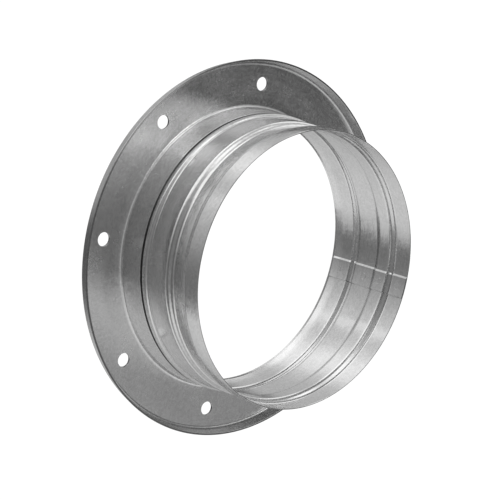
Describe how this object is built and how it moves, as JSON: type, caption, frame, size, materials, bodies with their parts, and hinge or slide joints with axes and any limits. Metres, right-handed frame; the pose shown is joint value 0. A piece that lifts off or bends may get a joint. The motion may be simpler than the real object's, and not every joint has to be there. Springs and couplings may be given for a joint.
{
  "type": "flanged duct adapter",
  "caption": "Round galvanised sheet-steel duct adapter: a bolt-on flange ring with a turned lip and drawn neck, holding a beaded, seam-welded spigot that slides into a round duct.",
  "frame": {"origin": "centre of the flange's back face, on the duct axis", "axes": "+Z along the duct axis, from the flange's back face towards the spigot's mouth; +X through the middle of a bolt hole"},
  "size_m": [0.2204, 0.2204, 0.0652],
  "materials": {
    "flange_zinc": "galvanised sheet, soft grey with faint spangle and draw marks",
    "spigot_zinc": "galvanised strip, brighter and smoother, with faint rolling marks"
  },
  "bodies": {
    "root": {"flange_ring": "flange_zinc", "spigot_sleeve": "spigot_zinc"}
  },
  "joints": []
}
